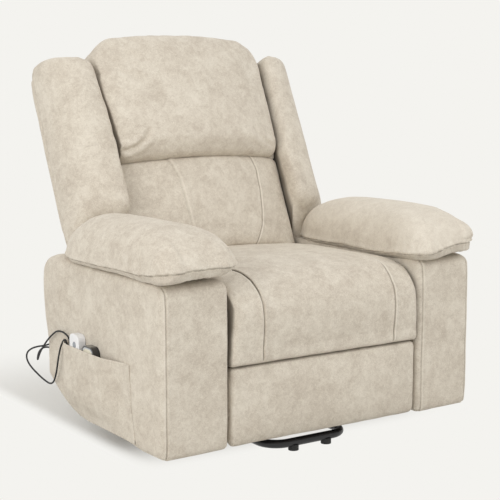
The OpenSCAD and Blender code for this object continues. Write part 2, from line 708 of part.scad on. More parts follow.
module footrest_lugs() {
    y0 = rest_pad + rest_board;
    color(steel) seated() for (s = [-1, 1]) {
        at_side(s, lane_a, plate) difference() {
            union() {
                polygon([[y0, pivot_q[1] - 28], pivot_q + [0, -11], pivot_q + [0, 11],
                    [y0, pivot_q[1] + 14]]);
                disc(pivot_q, 11);
            }
        }
        at_side(s, lane_b - 0.4, lane_a - lane_b + 0.4) disc(pivot_q, pin_r);
        at_side(s, lane_b - 1.4, 1) disc(pivot_q, pin_r + 3);
    }
}
function rest_outline(c) = let (b = rest_clear, t = rest_top, d = rest_pad - seat_fit) [
    [14, b], [34, b], [d - 4, b + 2], [d, b + 10], [d, b + 60], [d, t - 60], [d, t - 10], [d - 4, t - 2],
    [34, t], [14, t], [4, t - 5], [-c * 0.4, t - 20], [-c, t - 60], [-c, b + 60], [-c * 0.5, b + 20],
    [4, b + 5]];
module footrest_pad() {
    half = arm_in - soft_gap;
    color(cloth) seated() skin([for (q = rounded(-half, half, 10, 8))
        let (c = 6 * (1 - pow(abs(q[0]) / half, 4)))
        [for (p = inward(rest_outline(c), q[1])) [q[0], p[0], p[1]]]]);
}

// ---- handsets ----
white_y = arm_depth - 224;
white_top = 282;
black_y = arm_depth - 300;
black_top = 264;
// Outline of a handset with a round top, in the side view
module handset_2d(y0, w, top, len) {
    r = w * 0.32;
    union() {
        translate([y0, top - len + 8]) square([w, len - 8 - r]);
        translate([y0 + 8, top - len]) square([w - 16, 12]);
        translate([y0 + r, top - r - 6]) square([w - 2 * r, r + 6]);
        disc([y0 + r, top - r], r);
        disc([y0 + w - r, top - r], r);
        disc([y0 + 8, top - len + 8], 8);
        disc([y0 + w - 8, top - len + 8], 8);
    }
}
set_in = arm_out + 0.6;
set_out = set_in + handset_thick;
button_r = 8;
up_at = [white_y + white_w / 2, white_top - 27];
down_at = up_at - [0, 26];
module handset_white() {
    color([0.93, 0.93, 0.92]) seated() difference() {
        at_x(-set_out, handset_thick) handset_2d(white_y, white_w, white_top, white_l);
        for (p = [up_at, down_at]) at_x(-set_out - 1, 5) disc(p, button_r + 0.4);
    }
}
module button(p) {
    color([0.6, 0.6, 0.62]) seated() at_x(-set_out - 0.3, 2.8) disc(p, button_r);
}
module button_up() { button(up_at); }
module button_down() { button(down_at); }
face_in = 7;
module handset_black() {
    color(black) seated() difference() {
        at_x(-set_out, handset_thick) handset_2d(black_y, black_w, black_top, black_l);
        at_x(-set_out - 1, 3) handset_2d(black_y + 4, black_w - 8, black_top - 4, black_l - 8);
    }
}
module handset_bezel() {
    color([0.75, 0.76, 0.78]) seated() at_x(-set_out, 2) difference() {
        handset_2d(black_y + 4, black_w - 8, black_top - 4, black_l - 8);
        handset_2d(black_y + face_in, black_w - 2 * face_in, black_top - face_in, black_l - 2 * face_in);
    }
}
module handset_face() {
    color([0.9, 0.87, 0.78]) seated() at_x(-set_out + 0.4, 1.6)
        handset_2d(black_y + face_in, black_w - 2 * face_in, black_top - face_in, black_l - 2 * face_in);
}
// Cords from the pocket to the grommet, as round-number points for an arm 594 deep;
// the whole route shifts with the arm's rear edge
cord_shift = [0, arm_depth - 594, 0];
cord_route_white = [[-467, 395, 153.6], [-467, 395, 146], [-467, 405, 135], [-467, 422, 138],
    [-467, 430, 160],
    [-467, 432, 200], [-468, 433, 235], [-471, 435, 258], [-472, 443, 271], [-472, 460, 278],
    [-472, 490, 283],
    [-472, 520, 280], [-472, 545, 266], [-472, 575, 245], [-472, 600, 222], [-472, 618, 202],
    [-471, 630, 186],
    [-468, 638, 184], [-464, 642, 191], [-460, 640, 200], [-454, 632, 205], [-446, 622, 205],
    [-437, 611, 204],
    [-430, 602, 203], [-428, 597, 203], [-428, 592, 203]];
cord_route_black = [[-467, 325, 145.6], [-467, 325, 137], [-467, 340, 123], [-467, 380, 118],
    [-467, 415, 121],
    [-467, 436, 136], [-467, 443, 165], [-468, 444, 205], [-471, 446, 240], [-474, 452, 261],
    [-475, 461, 267],
    [-475, 475, 259], [-475, 492, 236], [-474, 508, 206], [-473, 522, 172], [-472, 540, 146],
    [-472, 560, 136],
    [-473, 590, 142], [-474, 630, 154], [-474, 665, 168], [-473, 685, 180], [-472, 690, 192],
    [-470, 682, 203],
    [-466, 665, 211], [-460, 645, 217], [-450, 625, 218], [-438, 610, 215], [-426, 602, 211],
    [-421, 597, 210],
    [-421, 592, 210]];
function dir_at(p, i) = let (n = len(p) - 1, d = p[min(n, i + 1)] - p[max(0, i - 1)]) d / norm(d);
// Side vector of a ring, kept square to the cord and carried along it
function side_at(p, i, s) = let (d = dir_at(p, i), t = s - (s * d) * d) t / norm(t);
function sides(p, i = 0, s = [1, 0.01, 0]) = i >= len(p) ? [] :
    let (t = side_at(p, i, s)) concat([t], sides(p, i + 1, t));
// Extra points between the chosen ones, on a smooth curve through them
function curve(p, m) = let (n = len(p) - 1) concat([for (i = [0:n - 1]) for (k = [0:m - 1]) let (t = k / m,
    a = p[max(0, i - 1)], b = p[i], c = p[i + 1], d = p[min(n, i + 2)])
    0.5 * ((2 * b) + (c - a) * t + (2 * a - 5 * b + 4 * c - d) * t * t + (3 * b - a - 3 * c + d) * t * t * t)],
    [p[n]]);
module cord(route, r, m) {
    p = curve([for (q = route) q + cord_shift], m);
    s = sides(p);
    color(black) seated() skin([for (i = [0:len(p) - 1]) let (d = dir_at(p, i), a = s[i],
        b = cross(d, a))
        [for (k = [7:-1:0]) p[i] + r * (cos(45 * k) * a + sin(45 * k) * b)]]);
}
module cord_white() { cord(cord_route_white, cord_r, 2); }
module cord_black() { cord(cord_route_black, cord_r, 1); }

base_bow();
base_front_tube();
base_rear_tube();
base_glides();
base_bracket_left();
base_bracket_right();
base_pins();
actuator_bracket();
lift_arm_left();
lift_arm_right();
torque_tube();
lift_crank();
front_link_left();
front_link_right();
chassis_plate_left();
chassis_plate_right();
chassis_cross_front();
chassis_cross_rear();
chassis_pins();
footrest_hanger_left();
footrest_hanger_right();
seat_deck();
seat_cushion();
arm_frame_left();
arm_frame_right();
arm_cover_left();
arm_cover_right();
arm_pad_left();
arm_pad_right();
side_pocket();
rear_panel();
control_box();
mains_gland();
cord_grommet();
recline_pins();
back_frame();
back_outer();
lumbar_cushion();
headrest_cushion();
wing_left();
wing_right();
footrest_link_a_left();
footrest_link_a_right();
footrest_link_b_left();
footrest_link_b_right();
footrest_board();
footrest_lugs();
footrest_pad();
actuator_motor();
actuator_tube();
actuator_rod();
handset_white();
button_up();
button_down();
handset_black();
handset_bezel();
handset_face();
cord_white();
cord_black();
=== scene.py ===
import json
import math

import bmesh
import bpy
import numpy as np
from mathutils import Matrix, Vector, noise


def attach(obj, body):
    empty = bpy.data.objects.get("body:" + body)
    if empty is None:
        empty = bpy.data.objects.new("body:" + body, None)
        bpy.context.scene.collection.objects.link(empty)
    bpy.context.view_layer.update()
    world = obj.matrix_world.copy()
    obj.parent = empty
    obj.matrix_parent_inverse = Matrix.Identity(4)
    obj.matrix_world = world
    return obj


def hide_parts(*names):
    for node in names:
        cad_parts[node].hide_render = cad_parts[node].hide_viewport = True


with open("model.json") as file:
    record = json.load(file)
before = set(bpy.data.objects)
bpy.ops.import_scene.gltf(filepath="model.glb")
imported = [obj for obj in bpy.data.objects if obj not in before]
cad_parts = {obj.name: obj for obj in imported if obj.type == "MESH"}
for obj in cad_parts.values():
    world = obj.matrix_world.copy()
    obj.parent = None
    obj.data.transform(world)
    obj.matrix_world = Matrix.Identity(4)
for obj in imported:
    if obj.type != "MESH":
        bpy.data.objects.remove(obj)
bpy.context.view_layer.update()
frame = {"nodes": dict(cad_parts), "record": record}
NODES = frame["nodes"]

# Side-view sizes are given from the front face of the arms, as in the part's source
FRONT_Y = -0.40364
LEAN = math.radians(24.7)
BACK_FOOT = (0.575, 0.400)
ARM_OUT = 0.459
ARM_IN = 0.282
ARM_TOP = 0.452
PAD_SEAM_Z = 0.471
PAD_RISE = 0.013
PAD_DROP = 0.005
PILLOW_HALF = ARM_IN - 0.012
BACK_PILLOW_HALF = 0.268
SEAT_SEAM_Z = 0.250
STITCH_X = 0.196
WING_SEAM_U = -0.022
CORD_R = 0.00225
# Mesh size of a cushion before it is refined, and half the width of a needle line
VOXEL = 0.008
NEEDLE = 0.0014


def at(x, y, z):
    """A point from its side-view place, y from the arm fronts."""
    return (x, y + FRONT_Y, z)


def on_back(x, u, v):
    """A point of the back, u behind its rear plane and v up the lean."""
    y = BACK_FOOT[0] + v * math.sin(LEAN) + u * math.cos(LEAN)
    z = BACK_FOOT[1] + v * math.cos(LEAN) - u * math.sin(LEAN)
    return at(x, y, z)


def add_object(name, data):
    obj = bpy.data.objects.new(name, data)
    bpy.context.scene.collection.objects.link(obj)
    return obj


# ---- camera ----
camera = add_object("camera", bpy.data.cameras.new("camera"))
camera.location = (-1.7959, -2.71164, 0.9019)
camera.rotation_euler = (math.radians(82.102), 0, math.radians(-34.19))
camera.data.lens = 89.7
camera.data.sensor_width = 36
bpy.context.scene.camera = camera


# ---- node helpers ----
def node(tree, kind, links=None, **values):
    """Adds a node, sets its values and links its inputs."""
    n = tree.nodes.new(kind)
    for key, value in values.items():
        setattr(n, key, value)
    for key, value in (links or {}).items():
        socket = n.inputs[key]
        if isinstance(value, bpy.types.NodeSocket):
            tree.links.new(value, socket)
        else:
            socket.default_value = value
    return n


def new_material(name):
    m = bpy.data.materials.new(name)
    m.use_nodes = True
    tree = m.node_tree
    tree.nodes.clear()
    out = node(tree, "ShaderNodeOutputMaterial")
    shader = node(tree, "ShaderNodeBsdfPrincipled")
    tree.links.new(shader.outputs["BSDF"], out.inputs["Surface"])
    coords = node(tree, "ShaderNodeTexCoord").outputs["Object"]
    return m, tree, shader, coords


def speckle(tree, coords, scale, detail=3.0, rough=0.6, distortion=0.0, stretch=None):
    """Noise of one size; stretch scales the three axes first."""
    if stretch:
        coords = node(tree, "ShaderNodeMapping", {"Vector": coords, "Scale": stretch}).outputs["Vector"]
    return node(tree, "ShaderNodeTexNoise", {"Vector": coords, "Scale": scale, "Detail": detail,
        "Roughness": rough, "Distortion": distortion}).outputs["Fac"]


def ramp(tree, fac, *stops):
    """Colour ramp through (position, colour) stops."""
    n = node(tree, "ShaderNodeValToRGB", {"Fac": fac})
    ramp_stops = n.color_ramp.elements
    while len(ramp_stops) < len(stops):
        ramp_stops.new(0.5)
    for stop, (position, colour) in zip(ramp_stops, stops):
        stop.position = position
        stop.color = (*colour, 1)
    return n.outputs["Color"]


def grey(v):
    return (v, v, v)


def drive(tree, socket, fac, *stops):
    """Lets a colour ramp set one of a shader's inputs."""
    tree.links.new(ramp(tree, fac, *stops), socket)


def blend_colours(tree, fac, a, b):
    return node(tree, "ShaderNodeMix", {0: fac, 6: a, 7: b}, data_type="RGBA").outputs[2]


def maths(tree, kind, a, b):
    return node(tree, "ShaderNodeMath", {0: a, 1: b}, operation=kind).outputs[0]


def weighted_sum(tree, *terms):
    """Adds up values, each times its weight."""
    total = None
    for value, weight in terms:
        part = maths(tree, "MULTIPLY", value, weight)
        total = part if total is None else maths(tree, "ADD", total, part)
    return total


def bump(tree, height, strength, distance, normal=None):
    links = {"Height": height, "Strength": strength, "Distance": distance}
    if normal is not None:
        links["Normal"] = normal
    return node(tree, "ShaderNodeBump", links).outputs["Normal"]


# ---- materials ----
SUEDE_LIGHT = (0.700, 0.648, 0.560)
SUEDE_MID = (0.606, 0.549, 0.465)
SUEDE_DARK = (0.492, 0.430, 0.358)
# Colours of the painted shade and the painted highlight that the marks mix in
PAINTED_SHADE = (0.105, 0.085, 0.064)
PAINTED_HIGHLIGHT = (0.780, 0.730, 0.640)


def suede(name):
    """Mottled faux suede: broad clouds, mid blotches and a fine nap, with darker, warmer painted shade in
    seams, gaps and hollows, and painted highlights from the marks.
    """
    m, tree, shader, coords = new_material(name)
    clouds = speckle(tree, coords, 14, 4.0, 0.6, 0.4)
    blots = speckle(tree, coords, 46, 6.0, 0.72, 0.6)
    fibre = speckle(tree, coords, 210, 4.0, 0.85, 1.4)
    grain = speckle(tree, coords, 520, 3.0, 0.85, 0.6)
    mixed = weighted_sum(tree, (clouds, 0.18), (blots, 0.26), (fibre, 0.33), (grain, 0.23))
    colour = ramp(tree, mixed, (0.420, SUEDE_DARK), (0.498, SUEDE_MID), (0.568, SUEDE_LIGHT))
    # Painted light and shade from the marks. On sewn lines a painted highlight sits where the folded edge
    # catches the light, with painted shade in the needle line beside it; gaps and hollows get painted shade too
    dark = node(tree, "ShaderNodeAttribute", attribute_name="painted_dark").outputs["Fac"]
    light = node(tree, "ShaderNodeAttribute", attribute_name="painted_light").outputs["Fac"]
    colour = blend_colours(tree, light, colour, (*PAINTED_HIGHLIGHT, 1))
    colour = blend_colours(tree, dark, colour, (*PAINTED_SHADE, 1))
    tree.links.new(colour, shader.inputs["Base Color"])
    shader.inputs["Roughness"].default_value = 0.93
    shader.inputs["Specular IOR Level"].default_value = 0.18
    shader.inputs["Sheen Weight"].default_value = 0.22
    shader.inputs["Sheen Roughness"].default_value = 0.45
    shader.inputs["Sheen Tint"].default_value = (1.0, 0.96, 0.88, 1)
    coarse = bump(tree, blots, 0.22, 0.0016)
    fine = bump(tree, fibre, 0.28, 0.0006, coarse)
    tree.links.new(bump(tree, grain, 0.3, 0.0003, fine), shader.inputs["Normal"])
    return m


def powder_coat():
    m, tree, shader, coords = new_material("black_powder_coat")
    peel = speckle(tree, coords, 700, 2.0)
    dust = speckle(tree, coords, 18, 5.0, 0.65)
    drive(tree, shader.inputs["Base Color"], dust, (0.35, (0.010, 0.010, 0.012)), (0.75, (0.022, 0.022, 0.025)))
    drive(tree, shader.inputs["Roughness"], dust, (0.3, grey(0.28)), (0.8, grey(0.46)))
    tree.links.new(bump(tree, peel, 0.18, 0.0004), shader.inputs["Normal"])
    return m


def zinc():
    m, tree, shader, coords = new_material("zinc_plate")
    cloud = speckle(tree, coords, 30, 6.0, 0.7, 0.6)
    lines = speckle(tree, coords, 160, 3.0, 0.6, 0.0, (1, 0.06, 1))
    drive(tree, shader.inputs["Base Color"], cloud, (0.3, (0.42, 0.43, 0.44)), (0.7, (0.62, 0.63, 0.65)))
    drive(tree, shader.inputs["Roughness"], lines, (0.3, grey(0.30)), (0.7, grey(0.50)))
    shader.inputs["Metallic"].default_value = 1.0
    tree.links.new(bump(tree, lines, 0.12, 0.0003), shader.inputs["Normal"])
    return m


def timber():
    m, tree, shader, coords = new_material("raw_plywood")
    rings = node(tree, "ShaderNodeTexWave", {"Vector": coords, "Scale": 22, "Distortion": 7, "Detail": 3,
        "Detail Scale": 1.5}).outputs["Fac"]
    fleck = speckle(tree, coords, 240, 3.0, 0.6, 0.0, (0.12, 1, 1))
    mixed = weighted_sum(tree, (rings, 0.55), (fleck, 0.45))
    drive(tree, shader.inputs["Base Color"], mixed, (0.2, (0.42, 0.27, 0.13)), (0.75, (0.63, 0.45, 0.26)))
    shader.inputs["Roughness"].default_value = 0.72
    tree.links.new(bump(tree, mixed, 0.25, 0.0006), shader.inputs["Normal"])
    return m


def moulded(name, dark, light, rough, texture, strength, metallic=0.0, coat=0.0):
    """Moulded plastic, rubber or trim: a slight tone change and a fine moulded texture."""
    m, tree, shader, coords = new_material(name)
    tone = speckle(tree, coords, 40, 4.0)
    grain = speckle(tree, coords, texture, 2.0)
    drive(tree, shader.inputs["Base Color"], tone, (0.35, dark), (0.7, light))
    drive(tree, shader.inputs["Roughness"], tone, (0.3, grey(rough)), (0.75, grey(min(1, rough * 1.25))))
    shader.inputs["Metallic"].default_value = metallic
    shader.inputs["Coat Weight"].default_value = coat
    tree.links.new(bump(tree, grain, strength, 0.0003), shader.inputs["Normal"])
    return m


FINISH = {
    "suede": suede("faux_suede"),
    "black_frame": powder_coat(),
    "zinc_steel": zinc(),
    "timber": timber(),
    "rubber": moulded("black_rubber", (0.012, 0.012, 0.012), (0.03, 0.03, 0.03), 0.62, 500, 0.3),
    "cord_jacket": moulded("cord_jacket", (0.006, 0.006, 0.007), (0.014, 0.014, 0.016), 0.55, 1200, 0.08),
    "black_plastic": moulded("black_plastic", (0.014, 0.014, 0.015), (0.028, 0.028, 0.03), 0.5, 1400, 0.25),
    "black_gloss": moulded("black_gloss", (0.010, 0.010, 0.012), (0.016, 0.016, 0.018), 0.16, 300, 0.02,
        coat=0.6),
    "white_plastic": moulded("white_plastic", (0.78, 0.78, 0.79), (0.86, 0.86, 0.87), 0.28, 1200, 0.05),
    "grey_plastic": moulded("grey_plastic", (0.26, 0.28, 0.31), (0.34, 0.36, 0.39), 0.42, 1200, 0.12),
    "bezel_metal": moulded("bezel_metal", (0.55, 0.56, 0.58), (0.72, 0.73, 0.75), 0.22, 900, 0.04,
        metallic=1.0),
    "cream_plastic": moulded("cream_plastic", (0.66, 0.62, 0.50), (0.76, 0.72, 0.60), 0.4, 1200, 0.08),
}
SLOT = {s["node"]: s["material_slot"] for s in frame["record"]["subparts"]}
for name, obj in NODES.items():
    obj.data.materials.clear()
    obj.data.materials.append(FINISH[SLOT[name]])


# ---- cords ----
# Side-view places along each cord, from the handset in the pocket round to the grommet
ROUTE_WHITE = [
    (-.467, .395, .1536), (-.467, .395, .146), (-.467, .405, .135), (-.467, .422, .138),
    (-.467, .430, .160), (-.467, .431, .200), (-.468, .431, .232), (-.471, .431, .252),
    (-.472, .436, .264), (-.472, .448, .270), (-.472, .473, .274), (-.472, .503, .270),
    (-.472, .530, .257), (-.472, .562, .236), (-.472, .590, .213), (-.472, .609, .194),
    (-.471, .622, .178), (-.468, .632, .174), (-.464, .638, .182), (-.460, .637, .193),
    (-.454, .630, .202), (-.446, .622, .205), (-.437, .611, .204), (-.430, .602, .203),
    (-.428, .597, .203), (-.428, .592, .203),
]
ROUTE_BLACK = [
    (-.467, .325, .1456), (-.467, .325, .137), (-.467, .340, .123), (-.467, .380, .118),
    (-.467, .415, .121), (-.467, .436, .136), (-.467, .442, .165), (-.468, .442, .203),
    (-.471, .442, .234), (-.474, .446, .252), (-.475, .453, .258), (-.475, .465, .250),
    (-.475, .480, .230), (-.474, .495, .200), (-.473, .509, .165), (-.472, .527, .138),
    (-.472, .548, .127), (-.473, .580, .129), (-.474, .625, .139), (-.474, .663, .150),
    (-.473, .685, .161), (-.472, .692, .173), (-.470, .686, .185), (-.466, .668, .196),
    (-.460, .646, .204), (-.450, .626, .209), (-.438, .610, .215), (-.426, .602, .211),
    (-.421, .597, .210), (-.421, .592, .210),
]


def smooth_route(points, steps):
    """Extra points on a smooth (Catmull-Rom) curve through the given ones."""
    p = np.array(points, float)
    out = []
    for i in range(len(p) - 1):
        a, b, c, d = p[max(0, i - 1)], p[i], p[i + 1], p[min(len(p) - 1, i + 2)]
        for k in range(steps):
            t = k / steps
            square, cube = 2 * a - 5 * b + 4 * c - d, 3 * b - a - 3 * c + d
            out.append(0.5 * (2 * b + (c - a) * t + square * t ** 2 + cube * t ** 3))
    return np.array(out + [p[-1]])


def add_cord(name, route):
    points = smooth_route([at(*p) for p in route], 5)
    curve = bpy.data.curves.new(name, "CURVE")
    curve.dimensions = "3D"
    curve.bevel_depth = CORD_R
    curve.bevel_resolution = 4
    curve.use_fill_caps = True
    line = curve.splines.new("POLY")
    line.points.add(len(points) - 1)
    for p, q in zip(line.points, points):
        p.co = (*q, 1)
    curve.materials.append(FINISH["cord_jacket"])
    obj = add_object(name + "_flex", curve)
    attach(obj, "chassis")
    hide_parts(name)


add_cord("cord_white", ROUTE_WHITE)
add_cord("cord_black", ROUTE_BLACK)


# ---- mesh helpers ----
def get_points(mesh):
    p = np.empty(len(mesh.vertices) * 3)
    mesh.vertices.foreach_get("co", p)
    return p.reshape(-1, 3)


def set_points(mesh, p):
    mesh.vertices.foreach_set("co", np.ascontiguousarray(p, float).ravel())
    mesh.update()


def get_normals(mesh):
    n = np.empty(len(mesh.vertices) * 3)
    mesh.vertices.foreach_get("normal", n)
    return n.reshape(-1, 3)


def apply_modifiers(obj):
    """Turns the object's shape with its modifiers into its plain mesh."""
    bpy.context.view_layer.update()
    shaped = bpy.data.meshes.new_from_object(obj.evaluated_get(bpy.context.evaluated_depsgraph_get()))
    obj.modifiers.clear()
    obj.data = shaped


def smoothstep(t):
    t = np.clip(t, 0, 1)
    return t * t * (3 - 2 * t)


def rise(value, start, width):
    """From 0 at start to 1 a width above it."""
    return smoothstep((value - start) / width)


def fall(value, start, width):
    """From 0 at start to 1 a width below it."""
    return smoothstep((start - value) / width)


def hill(d, width):
    """1 where d is 0, fading out either side of it."""
    return np.exp(-(d / width) ** 2)


def wave_noise(p, scale, seed):
    """Smooth noise from -1 to 1 at each point."""
    shift = Vector((seed * 3.7, seed * 1.3, seed * 2.1))
    return np.array([noise.noise(Vector(q) * scale + shift) for q in p])


def near_line(p, line):
    """Distance of each point from a line of points, and how far along the line that is."""
    line = np.array(line, float)
    best = np.full(len(p), 1e9)
    along = np.zeros(len(p))
    start = 0.0
    for a, b in zip(line[:-1], line[1:]):
        ab = b - a
        size = float(np.linalg.norm(ab))
        t = np.clip(((p - a) @ ab) / (size * size), 0, 1)
        d = np.linalg.norm(p - (a + t[:, None] * ab), axis=1)
        closer = d < best
        best[closer] = d[closer]
        along[closer] = (start + t * size)[closer]
        start += size
    return best, along


def relax(obj, times):
    """Applies the modifiers so far, with the mesh smoothed after them."""
    smoother = obj.modifiers.new("relax", "SMOOTH")
    smoother.factor = 0.5
    smoother.iterations = times
    apply_modifiers(obj)


def soft_start(name, source, relaxing, voxel=VOXEL, close_inside=None):
    """A new object from a CAD node's shape: evenly remeshed, with its flat facets relaxed."""
    mesh = NODES[source].data.copy()
    obj = add_object(name, mesh)
    work = bmesh.new()
    work.from_mesh(mesh)
    bmesh.ops.remove_doubles(work, verts=work.verts, dist=1e-5)
    if close_inside:
        low, high = close_inside
        inner = [f for f in work.faces
            if all(low[k] <= v.co[k] <= high[k] for v in f.verts for k in range(3))]
        bmesh.ops.delete(work, geom=inner, context="FACES")
        bmesh.ops.holes_fill(work, edges=[e for e in work.edges if e.is_boundary], sides=0)
    bmesh.ops.recalc_face_normals(work, faces=work.faces)
    work.to_mesh(mesh)
    work.free()
    remesh = obj.modifiers.new("even", "REMESH")
    remesh.mode = "VOXEL"
    remesh.voxel_size = voxel
    remesh.use_smooth_shade = True
    relax(obj, relaxing)
    return obj


def swell(obj, pinned, pressure, cap, frames, shrink, keep=1.0):
    """Blows the cover out as cloth between its pinned seams. cap limits how far a point moves."""
    mesh = obj.data
    start = get_points(mesh)
    hold = np.clip(pinned(start), 0, 1)
    normal = get_normals(mesh)
    set_points(mesh, start - normal * (shrink * (1 - hold))[:, None])
    group = obj.vertex_groups.new(name="seams")
    for i in np.nonzero(hold > 0.02)[0]:
        group.add([int(i)], float(hold[i]), "REPLACE")
    cloth = obj.modifiers.new("cloth", "CLOTH")
    s = cloth.settings
    s.quality = 4
    s.mass = 0.35
    s.tension_stiffness = s.compression_stiffness = 22
    s.shear_stiffness = 12
    s.bending_stiffness = 2.5
    s.tension_damping = s.compression_damping = 12
    s.use_pressure = True
    s.uniform_pressure_force = pressure
    s.vertex_group_mass = "seams"
    s.effector_weights.gravity = 0
    cloth.collision_settings.use_collision = False
    cloth.point_cache.frame_start = 1
    cloth.point_cache.frame_end = frames
    scene = bpy.context.scene
    for f in range(1, frames + 1):
        scene.frame_set(f)
    apply_modifiers(obj)
    scene.frame_set(1)
    moved = get_points(obj.data) - start
    far = np.linalg.norm(moved, axis=1)
    far[far == 0] = 1e-9
    held = cap * np.tanh(far / cap) / far
    set_points(obj.data, start + moved * (held * keep * (1 - hold))[:, None])


def refine(obj):
    sub = obj.modifiers.new("refine", "SUBSURF")
    sub.levels = sub.render_levels = 1
    apply_modifiers(obj)


def refine_near(obj, distance, reach, times):
    """Halves the mesh's edges within reach of a seam, so that its groove can be narrow."""
    for k in range(times):
        d = distance(get_points(obj.data))
        work = bmesh.new()
        work.from_mesh(obj.data)
        limit = reach / (k + 1)
        close = [e for e in work.edges if max(d[v.index] for v in e.verts) < limit]
        bmesh.ops.subdivide_edges(work, edges=close, cuts=1, use_grid_fill=True, smooth=0.0)
        work.to_mesh(obj.data)
        work.free()


def sculpt(obj, change):
    """Moves points by change(points, normals), which gives an offset along the normal or a vector."""
    p, n = get_points(obj.data), get_normals(obj.data)
    d = change(p, n)
    set_points(obj.data, p + (n * d[:, None] if d.ndim == 1 else d))


def mark(obj, **shares):
    """Writes the shares of each point, from 0 to 1, of painted shade and painted highlight that its material
    mixes in.
    """
    p, n = get_points(obj.data), get_normals(obj.data)
    for name, share in shares.items():
        # Each layer holds painted shade (dark) or painted highlight (light)
        layer = obj.data.attributes.new("painted_" + name, "FLOAT", "POINT")
        layer.data.foreach_set("value", np.clip(share(p, n), 0, 1).astype(np.float32))


def dress(obj, body, stands_for):
    """Cloth, smooth shading, body, and the node it stands for."""
    obj.data.materials.clear()
    obj.data.materials.append(FINISH["suede"])
    obj.data.shade_smooth()
    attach(obj, body)
    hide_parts(stands_for)


def mottle(p, seed):
    """Low, broad unevenness of stuffed fabric."""
    return 0.0012 * wave_noise(p, 9, seed) + 0.0006 * wave_noise(p, 24, seed + 5)


# ---- arms ----
def build_arm(side):
    name = "left" if side > 0 else "right"
    gap = 0.012
    low = (min(side * (ARM_IN + gap), side * (ARM_OUT - gap)) - 1e-4, FRONT_Y + gap, -0.1)
    high = (max(side * (ARM_IN + gap), side * (ARM_OUT - gap)) + 1e-4, FRONT_Y + 0.51, 0.44)
    obj = soft_start(f"arm_{name}_cover", f"arm_cover_{name}", voxel=0.0065, relaxing=10,
        close_inside=(low, high))
    # Sewn edges down both sides of the front panel
    seam_y = FRONT_Y + 0.004
    panel = (ARM_OUT - 0.011, ARM_IN + (0.016 if side > 0 else 0.001))

    def seam_distance(p):
        off = np.min([np.abs(np.abs(p[:, 0]) - x) for x in panel], axis=0)
        return np.where(p[:, 1] < seam_y + 0.03, off, 1)
    refine_near(obj, seam_distance, reach=0.022, times=2)

    def edges(p, n):
        d = np.zeros(len(p))
        front = fall(p[:, 1], seam_y + 0.025, 0.02)
        for x in panel:
            off = np.abs(p[:, 0]) - x
            d -= 0.0030 * hill(off, 0.0017) * front
            d += 0.0006 * hill(np.abs(off) - 0.0055, 0.003) * front
        # The panels are pulled a little in and out between their tacks
        d += 0.0016 * wave_noise(p, 5, 3 + side) * fall(p[:, 2], ARM_TOP - 0.03, 0.05)
        # The rear end is filled out at its top
        y, outer = p[:, 1] - FRONT_Y, rise(np.abs(p[:, 0]), 0.37, 0.065)
        d += 0.010 * outer * rise(y, 0.44, 0.06) * rise(p[:, 2], 0.17, 0.20)
        return d + mottle(p, 2 + side)
    sculpt(obj, edges)

    def line(p, shift, width):
        off = np.min([np.abs(np.abs(p[:, 0]) - x - shift) for x in panel], axis=0)
        return hill(off, width) * fall(p[:, 1], seam_y + 0.025, 0.02)
    # Painted shade along each needle line and a painted highlight on the folded edge beside it
    mark(obj, dark=lambda p, n: 0.28 * line(p, 0, NEEDLE),
        light=lambda p, n: 0.45 * line(p, 0.0036, 0.0016))
    dress(obj, "chassis", f"arm_cover_{name}")


for side in (1, -1):
    build_arm(side)


